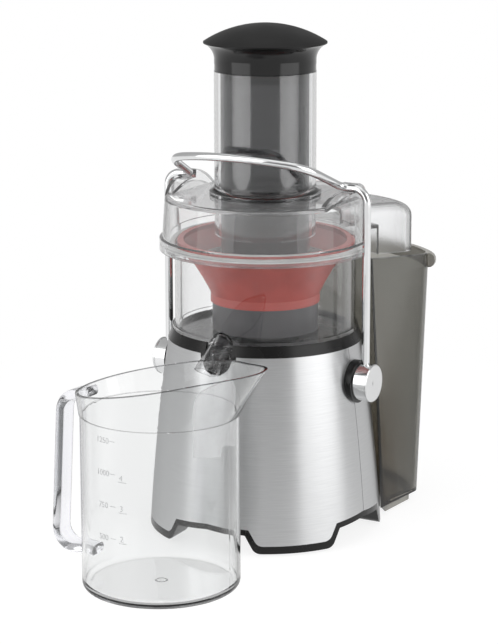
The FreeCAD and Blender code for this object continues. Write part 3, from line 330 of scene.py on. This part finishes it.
def banded(name, colour, gap, pitch, roughness, metallic, depth):
    finish, tree, shader = startFinish(name, colour, roughness, metallic)
    bands = waves(tree, objectPlace(tree), pitch, layers["distortion"], bands_direction="Z")
    wire(tree, shade(tree, bands, gap, colour, *layers["gapEdge"]), shader.inputs["Base Color"])
    wire(tree, spread(tree, bands, roughness * layers["gapRoughness"], roughness), shader.inputs["Roughness"])
    relief(tree, shader, bands, depth, layers["strength"])
    return finish


# turned face of the arm's caps, with rings about the pivot
spun = {"colour": (0.80, 0.805, 0.81), "dull": 0.9, "roughness": (0.16, 0.26), "pivot": (0, motorY, 0.1266),
        "pitch": 0.0005, "distortion": 0.2, "ringEdge": (0.1, 0.9), "depth": 0.00001, "strength": 0.4}


def spunCap(name):
    finish, tree, shader = startFinish(name, spun["colour"], spun["roughness"][0], metallic=1.0)
    rings = waves(tree, objectPlace(tree, centre=spun["pivot"]), spun["pitch"], spun["distortion"],
                  wave_type="RINGS", rings_direction="X")
    dull = toned(spun["colour"], spun["dull"])
    wire(tree, spread(tree, rings, *spun["roughness"], *spun["ringEdge"]), shader.inputs["Roughness"])
    wire(tree, shade(tree, rings, dull, spun["colour"], *spun["ringEdge"]), shader.inputs["Base Color"])
    relief(tree, shader, rings, spun["depth"], spun["strength"])
    return finish


# one finish for each slot of the record, and some nodes with their own
styrene = {"tint": (0.965, 0.967, 0.97), "roughness": (0.0, 0.03), "index": 1.5, "shadow": (0.93, 0.93, 0.93)}
finishes = {
    "steel_shell": brushedSteel("brushedSteel"),
    "black_plastic": mouldedPlastic("grainedBlack", colour=(0.008, 0.0078, 0.0076), roughness=0.26,
                                    depth=0.00002, sheen=0.35),
    "gloss_black": mouldedPlastic("polishedBlack", colour=(0.006, 0.0058, 0.0058), roughness=0.12,
                                  depth=0.000004, sheen=0.42),
    "cap_black": mouldedPlastic("satinBlack", colour=(0.004, 0.0039, 0.0039), roughness=0.45,
                                depth=0.00003, sheen=0.28),
    "clear_plastic": clearMoulding("clearStyrene", **styrene),
    "chute_frosted": clearMoulding("frostedChute", tint=(0.975, 0.978, 0.982), roughness=(0.22, 0.30),
                                   index=1.45, shadow=(0.88, 0.88, 0.88)),
    "spout_clear": clearMoulding("clearSpout", tint=(0.97, 0.97, 0.975), roughness=(0.0, 0.03),
                                 index=1.35, shadow=(0.88, 0.88, 0.88)),
    "smoky_plastic": clearMoulding("smokyTube", tint=(0.18, 0.18, 0.184), roughness=(0.02, 0.05),
                                   index=1.5, shadow=(0.15, 0.15, 0.15)),
    "smoky_bin": smokyBin("smokyBin"),
    "coral_plastic": mouldedPlastic("coralBasket", colour=(0.52, 0.078, 0.060), roughness=0.24,
                                    depth=0.000006),
    "grey_plastic": mouldedPlastic("greyHub", colour=(0.085, 0.083, 0.088), roughness=0.34, depth=0.00001),
    "mesh_steel": smoothMetal("meshSteel", colour=(0.58, 0.58, 0.58), roughness=(0.24, 0.36),
                              grain=(900, 900, 900), depth=0.00002),
    "chrome_rod": smoothMetal("chromePlate", colour=(0.86, 0.865, 0.87), roughness=(0.05, 0.10),
                              grain=(60, 60, 60), depth=0.000004),
    "machined_steel": smoothMetal("groundSteel", colour=(0.56, 0.56, 0.57), roughness=(0.2, 0.34),
                                  grain=(300, 300, 1800), depth=0.00001),
    "lamination": banded("laminatedCore", colour=(0.30, 0.29, 0.28), gap=(0.06, 0.055, 0.05),
                         pitch=0.0012, roughness=0.45, metallic=0.8, depth=0.0002),
    "copper": banded("enamelledWire", colour=(0.62, 0.25, 0.10), gap=(0.20, 0.06, 0.02),
                     pitch=0.0016, roughness=0.3, metallic=0.7, depth=0.0005),
    "bracket_alloy": smoothMetal("castAlloy", colour=(0.5, 0.5, 0.505), roughness=(0.42, 0.58),
                                 grain=(500, 500, 500), depth=0.0001, strength=0.5),
    "rubber_black": mouldedPlastic("footRubber", colour=(0.018, 0.018, 0.018), roughness=0.75,
                                   depth=0.00008, sheen=0.3),
    "seal_clear": mouldedPlastic("siliconeSeal", colour=(0.70, 0.70, 0.69), roughness=0.4, depth=0.00002),
    "cam_plastic": mouldedPlastic("naturalAcetal", colour=(0.72, 0.71, 0.67), roughness=0.38, depth=0.00002),
}
ownFinish = {
    "hub_caps": spunCap("spunCap"),
    "lid_cover": clearMoulding("lidStyrene", **styrene, clear=0.94),
    "jug_body": jugStyrene("jugStyrene"),
    "froth_separator": thinSheet("separatorStyrene"),
    "jug_handle": clearMoulding("handleStyrene", tint=(0.94, 0.94, 0.97), roughness=(0.08, 0.14),
                                index=1.3, shadow=(0.9, 0.9, 0.9)),
}
for part in frame["record"]["subparts"]:
    mesh = cad[part["node"]].data
    mesh.materials.clear()
    mesh.materials.append(ownFinish.get(part["node"], finishes[part["material_slot"]]))
print("finishes on", len(cad), "nodes")


# what repeats is grown by node trees, with a piece's sizes as their inputs, and kept as plain meshes
def newTree(name, sizes):
    tree = bpy.data.node_groups.new(name, "GeometryNodeTree")
    keys = {}
    for label, size in sizes.items():
        kind = "NodeSocketInt" if isinstance(size, int) else "NodeSocketFloat"
        keys[label] = tree.interface.new_socket(name=label, in_out="INPUT", socket_type=kind).identifier
    tree.interface.new_socket(name="Geometry", in_out="OUTPUT", socket_type="NodeSocketGeometry")
    return tree, addNode(tree, "NodeGroupInput").outputs, keys


def endTree(tree, geometry, finish):
    realize = addNode(tree, "GeometryNodeRealizeInstances")
    paint = addNode(tree, "GeometryNodeSetMaterial")
    paint.inputs["Material"].default_value = finish
    out = addNode(tree, "NodeGroupOutput")
    wire(tree, geometry, realize.inputs["Geometry"])
    wire(tree, realize.outputs[0], paint.inputs["Geometry"])
    wire(tree, paint.outputs[0], out.inputs[0])


def placeAt(tree, geometry, x, y, z):
    joinPlace = addNode(tree, "ShaderNodeCombineXYZ")
    for socket, value in zip(joinPlace.inputs, (x, y, z)):
        if isinstance(value, (int, float)):
            socket.default_value = value
        else:
            wire(tree, value, socket)
    move = addNode(tree, "GeometryNodeSetPosition")
    wire(tree, geometry, move.inputs["Geometry"])
    wire(tree, joinPlace.outputs[0], move.inputs["Position"])
    return move.outputs[0]


def onCircle(tree, reach, angle):
    return [sums(tree, "MULTIPLY", reach, sums(tree, side, angle)) for side in ("COSINE", "SINE")]


def pointRow(tree, count):
    row = addNode(tree, "GeometryNodeMeshLine")
    wire(tree, count, row.inputs["Count"])
    return row.outputs["Mesh"], addNode(tree, "GeometryNodeInputIndex").outputs[0]


def setOut(tree, spots, shape, turned=(0, 0, 0)):
    copies = addNode(tree, "GeometryNodeInstanceOnPoints")
    copies.inputs["Rotation"].default_value = turned
    wire(tree, spots, copies.inputs["Points"])
    wire(tree, shape, copies.inputs["Instance"])
    return copies.outputs[0]


def roundBar(tree, line, radius, sides):
    section = addNode(tree, "GeometryNodeCurvePrimitiveCircle")
    wire(tree, sides, section.inputs["Resolution"])
    wire(tree, radius, section.inputs["Radius"])
    bar = addNode(tree, "GeometryNodeCurveToMesh")
    bar.inputs["Fill Caps"].default_value = True
    wire(tree, line, bar.inputs["Curve"])
    wire(tree, section.outputs[0], bar.inputs["Profile Curve"])
    return bar.outputs[0]


def keepPiece(name, mesh, finish, body, place):
    mesh.name = name
    mesh.transform(place)
    mesh.materials.clear()
    mesh.materials.append(finish)
    piece = bpy.data.objects.new(name, mesh)
    scene.collection.objects.link(piece)
    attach(piece, body)
    return piece


def growPiece(name, tree, keys, sizes, finish, body, place):
    seed = bpy.data.objects.new(name + "Seed", bpy.data.meshes.new(name + "Seed"))
    scene.collection.objects.link(seed)
    growth = seed.modifiers.new("growth", "NODES")
    growth.node_group = tree
    for label, key in keys.items():
        growth[key] = sizes[label]
    grown = seed.evaluated_get(bpy.context.evaluated_depsgraph_get())
    mesh = bpy.data.meshes.new_from_object(grown)
    seed.modifiers.remove(growth)
    bpy.data.objects.remove(seed)
    print(name, len(mesh.polygons), "faces")
    return keepPiece(name, mesh, finish, body, place)


def closeMesh(name, shape):
    bmesh.ops.recalc_face_normals(shape, faces=shape.faces)
    mesh = bpy.data.meshes.new(name)
    shape.to_mesh(mesh)
    shape.free()
    return mesh


motorPlace = Matrix.Translation((0, motorY, 0))

# woven filter on the inside of the basket
sieve = {"Wires": 150, "Hoops": 24, "FootRadius": 0.04227, "Flare": 0.01273, "Bow": 0.00224,
         "Low": 0.1935, "Height": 0.0224, "WireRadius": 0.00026, "Sides": 4}


def sieveTree(finish):
    tree, given, keys = newTree("sieveWires", sieve)
    sheet = addNode(tree, "GeometryNodeMeshGrid")
    wire(tree, sums(tree, "ADD", given["Wires"], 1), sheet.inputs["Vertices X"])
    wire(tree, given["Hoops"], sheet.inputs["Vertices Y"])
    sheet.inputs["Size X"].default_value = 1
    sheet.inputs["Size Y"].default_value = 1
    across, along = splitPlace(tree, addNode(tree, "GeometryNodeInputPosition").outputs[0])[:2]
    angle = sums(tree, "MULTIPLY", across, 2 * math.pi)
    up = sums(tree, "ADD", along, 0.5)  # the sheet lies about its middle, so this runs from 0 to 1
    sag = sums(tree, "MULTIPLY", sums(tree, "MULTIPLY", up, sums(tree, "SUBTRACT", up, 1)), given["Bow"])
    reach = sums(tree, "ADD", sums(tree, "MULTIPLY_ADD", up, given["Flare"], given["FootRadius"]), sag)
    wrapped = placeAt(tree, sheet.outputs["Mesh"], *onCircle(tree, reach, angle),
                      sums(tree, "MULTIPLY_ADD", up, given["Height"], given["Low"]))
    lines = addNode(tree, "GeometryNodeMeshToCurve")
    wire(tree, wrapped, lines.inputs["Mesh"])
    endTree(tree, roundBar(tree, lines.outputs[0], given["WireRadius"], given["Sides"]), finish)
    return tree, keys


tree, keys = sieveTree(finishes["mesh_steel"])
sieveWires = growPiece("sieve_wires", tree, keys, sieve, finishes["mesh_steel"], "rotor",
                       motorPlace)
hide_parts("filter_mesh")

# pressed teeth on the grater, set on a sunflower spiral
teeth = {"Count": 170, "Inner": 0.006, "Outer": 0.0385, "Width": 0.0011, "Tip": 0.25, "Rise": 0.0013,
         "Seat": 0.1942, "Sides": 6}
goldenAngle = math.pi * (3 - math.sqrt(5))


def teethTree(finish):
    tree, given, keys = newTree("graterTeeth", teeth)
    row, index = pointRow(tree, given["Count"])
    share = sums(tree, "SQRT", sums(tree, "DIVIDE", index, given["Count"]))
    span = sums(tree, "SUBTRACT", given["Outer"], given["Inner"])
    reach = sums(tree, "MULTIPLY_ADD", share, span, given["Inner"])
    angle = sums(tree, "MULTIPLY", index, goldenAngle)
    spots = placeAt(tree, row, *onCircle(tree, reach, angle), given["Seat"])
    tooth = addNode(tree, "GeometryNodeMeshCone")
    wire(tree, given["Sides"], tooth.inputs["Vertices"])
    wire(tree, given["Width"], tooth.inputs["Radius Bottom"])
    wire(tree, sums(tree, "MULTIPLY", given["Width"], given["Tip"]), tooth.inputs["Radius Top"])
    wire(tree, given["Rise"], tooth.inputs["Depth"])
    endTree(tree, setOut(tree, spots, tooth.outputs["Mesh"]), finish)
    return tree, keys


tree, keys = teethTree(finishes["mesh_steel"])
growPiece("grater_teeth", tree, keys, teeth, finishes["mesh_steel"], "rotor", motorPlace)

# measuring scale on the jug: short arcs on its wall and a number beside each
jug = {"axis": (0.006, -0.1415), "radius": 0.0595, "floor": 0.003, "millilitre": 0.0000976, "tickProud": 0.00004}
quarterLitre, cup = 250, 237  # millilitres, and both scales start at the second mark
tick = {"Radius": jug["radius"] + jug["tickProud"], "Thickness": 0.00045, "Steps": 10, "Sides": 8}
columns = {
    "jug_ticks_ml": {"Rows": 4, "Lowest": jug["floor"] + 2 * quarterLitre * jug["millilitre"],
                     "Pitch": quarterLitre * jug["millilitre"],
                     "Start": math.radians(-96.5), "Sweep": math.radians(4.5), **tick},
    "jug_ticks_cups": {"Rows": 3, "Lowest": jug["floor"] + 2 * cup * jug["millilitre"],
                       "Pitch": cup * jug["millilitre"],
                       "Start": math.radians(-89.5), "Sweep": math.radians(6.5), **tick},
}
markFinish = clearMoulding("frostedMark", tint=(0.88, 0.885, 0.89), roughness=(0.5, 0.6),
                           index=1.4, shadow=(0.85, 0.85, 0.85))
jugPlace = Matrix.Translation((*jug["axis"], 0))


def tickTree(finish):
    tree, given, keys = newTree("scaleTicks", columns["jug_ticks_ml"])
    row, index = pointRow(tree, given["Rows"])
    spots = placeAt(tree, row, 0, 0, sums(tree, "MULTIPLY_ADD", index, given["Pitch"], given["Lowest"]))
    arc = addNode(tree, "GeometryNodeCurveArc")
    wire(tree, given["Steps"], arc.inputs["Resolution"])
    wire(tree, given["Radius"], arc.inputs["Radius"])
    wire(tree, given["Start"], arc.inputs["Start Angle"])
    wire(tree, given["Sweep"], arc.inputs["Sweep Angle"])
    thick = sums(tree, "MULTIPLY", given["Thickness"], 0.5)
    bar = roundBar(tree, arc.outputs[0], thick, given["Sides"])
    endTree(tree, setOut(tree, spots, bar), finish)
    return tree, keys


tree, keys = tickTree(markFinish)
for name, column in columns.items():
    growPiece(name, tree, keys, column, markFinish, "jug", jugPlace)

# numbers wrapped on the wall, left of the millilitre ticks and over the cup ticks
figures = {"size": 0.0062, "proud": 0.00018, "gap": 0.00002, "merge": 1e-7}
numberRows = {
    "jug_ticks_ml": {"words": ("500", "750", "1000", "1250"), "angle": -103.0, "lift": -0.0021},
    "jug_ticks_cups": {"words": ("2", "3", "4"), "angle": -87.2, "lift": 0.0011},
}


def wrapNumber(word, angle, height):
    letters = bpy.data.curves.new("number", "FONT")
    letters.body = word
    letters.size = figures["size"]
    letters.extrude = figures["proud"] / 2
    letters.align_x = "CENTER"
    flat = bpy.data.objects.new("number", letters)
    scene.collection.objects.link(flat)
    mesh = bpy.data.meshes.new_from_object(flat.evaluated_get(bpy.context.evaluated_depsgraph_get()))
    bpy.data.objects.remove(flat)
    for vertex in mesh.vertices:
        turned = math.radians(angle) + vertex.co.x / jug["radius"]
        reach = jug["radius"] + figures["gap"] + figures["proud"] / 2 + vertex.co.z
        vertex.co = (reach * math.cos(turned), reach * math.sin(turned), height + vertex.co.y)
    return mesh


numbers = bmesh.new()
for name, row in numberRows.items():
    for step, word in enumerate(row["words"]):
        height = columns[name]["Lowest"] + step * columns[name]["Pitch"] + row["lift"]
        numbers.from_mesh(wrapNumber(word, row["angle"], height))
bmesh.ops.remove_doubles(numbers, verts=numbers.verts, dist=figures["merge"])
keepPiece("jug_numbers", closeMesh("jug_numbers", numbers), markFinish, "jug", jugPlace)

# gate mark in the middle of the jug's floor
gate = {"radius": 0.0042, "bead": 0.0007, "flatness": 0.4, "height": 0.00305, "steps": 40, "rounds": 10}


def gateMark():
    ring = bmesh.new()
    rows = []
    for i in range(gate["steps"]):
        angle = 2 * math.pi * i / gate["steps"]
        row = []
        for k in range(gate["rounds"]):
            tip = 2 * math.pi * k / gate["rounds"]
            reach = gate["radius"] + gate["bead"] * math.cos(tip)
            height = gate["height"] + gate["flatness"] * gate["bead"] * math.sin(tip)
            row.append(ring.verts.new((reach * math.cos(angle), reach * math.sin(angle), height)))
        rows.append(row)
    for i, row in enumerate(rows):
        after = rows[(i + 1) % len(rows)]
        for k in range(len(row)):
            up = (k + 1) % len(row)
            ring.faces.new((row[k], after[k], after[up], row[up]))
    return closeMesh("jug_gate_mark", ring)


keepPiece("jug_gate_mark", gateMark(), finishes["clear_plastic"], "jug", jugPlace)

# finger ribs on the speed rocker
ribs = {"Count": 7, "Pitch": 0.0017, "Length": 0.0064, "Thick": 0.0004, "Face": 0.09136, "Slope": 0.227,
        "Height": 0.066, "Sides": 10}
rockerAngle = 168  # degrees round the motor axis from x, which is the left of the base


def ribTree(finish):
    tree, given, keys = newTree("rockerRibs", ribs)
    row, index = pointRow(tree, given["Count"])
    middle = sums(tree, "MULTIPLY", sums(tree, "SUBTRACT", given["Count"], 1), 0.5)
    up = sums(tree, "MULTIPLY", sums(tree, "SUBTRACT", index, middle), given["Pitch"])
    back = sums(tree, "MULTIPLY", sums(tree, "ABSOLUTE", up), given["Slope"])
    spots = placeAt(tree, row, sums(tree, "SUBTRACT", given["Face"], back), 0,
                    sums(tree, "ADD", given["Height"], up))
    rib = addNode(tree, "GeometryNodeMeshCylinder")
    wire(tree, given["Sides"], rib.inputs["Vertices"])
    wire(tree, given["Thick"], rib.inputs["Radius"])
    wire(tree, given["Length"], rib.inputs["Depth"])
    endTree(tree, setOut(tree, spots, rib.outputs["Mesh"], (math.pi / 2, 0, 0)), finish)
    return tree, keys


tree, keys = ribTree(finishes["gloss_black"])
rockerPlace = motorPlace @ Matrix.Rotation(math.radians(rockerAngle), 4, "Z")
growPiece("rocker_ribs", tree, keys, ribs, finishes["gloss_black"], "rocker", rockerPlace)
print("details grown")


# studio: two tall soft boxes with the dark room between them, and a lamp overhead
boxes = {
    "leftBox": {"turnBy": -57, "distance": 1.5, "height": 0.55, "size": (1.35, 1.7), "power": 9.0},
    "rightBox": {"turnBy": 57, "distance": 1.5, "height": 0.55, "size": (1.35, 1.7), "power": 9.0},
    "overhead": {"turnBy": 180, "distance": 0.25, "height": 1.9, "size": (1.4, 1.4), "power": 3.0},
}
aimAt = Vector((0, motorY, 0.2))


def softBox(name, turnBy, distance, height, size, power):
    lamp = bpy.data.lights.new(name, "AREA")
    lamp.shape = "RECTANGLE"
    lamp.size, lamp.size_y = size
    lamp.energy = power
    box = bpy.data.objects.new(name, lamp)
    angle = turn + math.radians(turnBy)
    box.location = (math.sin(angle) * distance, motorY - math.cos(angle) * distance, height)
    box.rotation_euler = (aimAt - box.location).to_track_quat("-Z", "Y").to_euler()
    scene.collection.objects.link(box)


for name, box in boxes.items():
    softBox(name, **box)

# the room is pale to the eye, and polished pieces mirror it darker behind the photo's viewpoint
room = {"fill": 0.55, "levels": ((0.02, 0.45), (0.3, 0.45), (0.5, 0.5), (0.63, 0.8),
                                 (0.75, 0.95), (0.86, 0.5), (0.93, 0.22), (0.98, 0.2))}


def anyRay(tree):
    path = addNode(tree, "ShaderNodeLightPath")
    seen = path.outputs["Is Camera Ray"]
    for kind in ("Is Glossy Ray", "Is Transmission Ray"):
        seen = sums(tree, "MAXIMUM", seen, path.outputs[kind])
    return path, seen


# a reflection, also one that leaves through a clear wall again
def mirroredRay(tree, path):
    return sums(tree, "GREATER_THAN", path.outputs["Glossy Depth"], 0)


# how bright the mirrored room is, from the far side at 0 to the viewpoint's side at 1
def roomLevel(tree, vector):
    facing = addNode(tree, "ShaderNodeVectorMath", operation="DOT_PRODUCT")
    facing.inputs[1].default_value = (math.sin(turn), -math.cos(turn), 0)
    wire(tree, vector, facing.inputs[0])
    ramp = addNode(tree, "ShaderNodeValToRGB")
    stops = ramp.color_ramp.elements
    for place, level in room["levels"]:
        stops.new(place).color = (level, level, level, 1)
    stops.remove(stops[0])
    stops.remove(stops[-1])
    wire(tree, spread(tree, facing.outputs["Value"], 0, 1, -1, 1), ramp.inputs["Fac"])
    return ramp.outputs["Color"]


studioRoom = bpy.data.worlds.new("studioRoom")
scene.world = studioRoom
studioRoom.use_nodes = True
tree = studioRoom.node_tree
tree.nodes.clear()
path, seen = anyRay(tree)
plain = addNode(tree, "ShaderNodeBackground")
mirrored = addNode(tree, "ShaderNodeBackground")
wire(tree, roomLevel(tree, addNode(tree, "ShaderNodeTexCoord").outputs["Generated"]), mirrored.inputs["Color"])
fill = addNode(tree, "ShaderNodeBackground")
fill.inputs["Strength"].default_value = room["fill"]
shown = mixShaders(tree, seen, fill, mixShaders(tree, mirroredRay(tree, path), plain, mirrored))
wire(tree, shown.outputs[0], addNode(tree, "ShaderNodeOutputWorld").inputs["Surface"])

# pale floor that stays white to the eye and keeps a soft shadow
floorSheet = {"half": 6.0, "height": -0.0004, "glow": 0.85, "albedo": 0.28, "fade": (0.26, 0.60),
              "dim": 0.2, "dimInside": 0.5}
floorMesh = bpy.data.meshes.new("paleFloor")
half, low = floorSheet["half"], floorSheet["height"]
floorMesh.from_pydata([(-half, -half, low), (half, -half, low), (half, half, low), (-half, half, low)],
                      [], [(0, 1, 2, 3)])
paleFloor = bpy.data.objects.new("paleFloor", floorMesh)
scene.collection.objects.link(paleFloor)
floorFinish = bpy.data.materials.new("paleSweep")
floorFinish.use_nodes = True
tree = floorFinish.node_tree
tree.nodes.clear()
path, seen = anyRay(tree)
matt = addNode(tree, "ShaderNodeBsdfDiffuse")
matt.inputs["Color"].default_value = (floorSheet["albedo"],) * 3 + (1,)
glow = addNode(tree, "ShaderNodeEmission")
glow.inputs["Strength"].default_value = floorSheet["glow"]
both = addNode(tree, "ShaderNodeAddShader")
wire(tree, matt.outputs[0], both.inputs[0])
wire(tree, glow.outputs[0], both.inputs[1])
shadowed = mixShaders(tree, seen, matt, both)

away = addNode(tree, "ShaderNodeVectorMath", operation="LENGTH")
wire(tree, objectPlace(tree, (1, 1, 0)), away.inputs[0])
white = addNode(tree, "ShaderNodeEmission")
fade = spread(tree, away.outputs["Value"], 0, 1, *floorSheet["fade"])
whitened = mixShaders(tree, sums(tree, "MULTIPLY", fade, seen), shadowed, white)  # white beyond the shadow

outward = addNode(tree, "ShaderNodeVectorMath", operation="NORMALIZE")
wire(tree, objectPlace(tree, (1, 1, 0), (0, motorY, 0)), outward.inputs[0])
dimBy = sums(tree, "MULTIPLY_ADD", path.outputs["Is Transmission Ray"],
             floorSheet["dimInside"], floorSheet["dim"])
dimmed = addNode(tree, "ShaderNodeEmission")  # mirrored floors take some of the room's shade
wire(tree, blendColour(tree, dimBy, (1, 1, 1), roomLevel(tree, outward.outputs[0])), dimmed.inputs["Color"])
inMirror = sums(tree, "MULTIPLY", mirroredRay(tree, path), seen)
shown = mixShaders(tree, inMirror, whitened, dimmed)
wire(tree, shown.outputs[0], addNode(tree, "ShaderNodeOutputMaterial").inputs["Surface"])
floorMesh.materials.append(floorFinish)
print("studio lit")
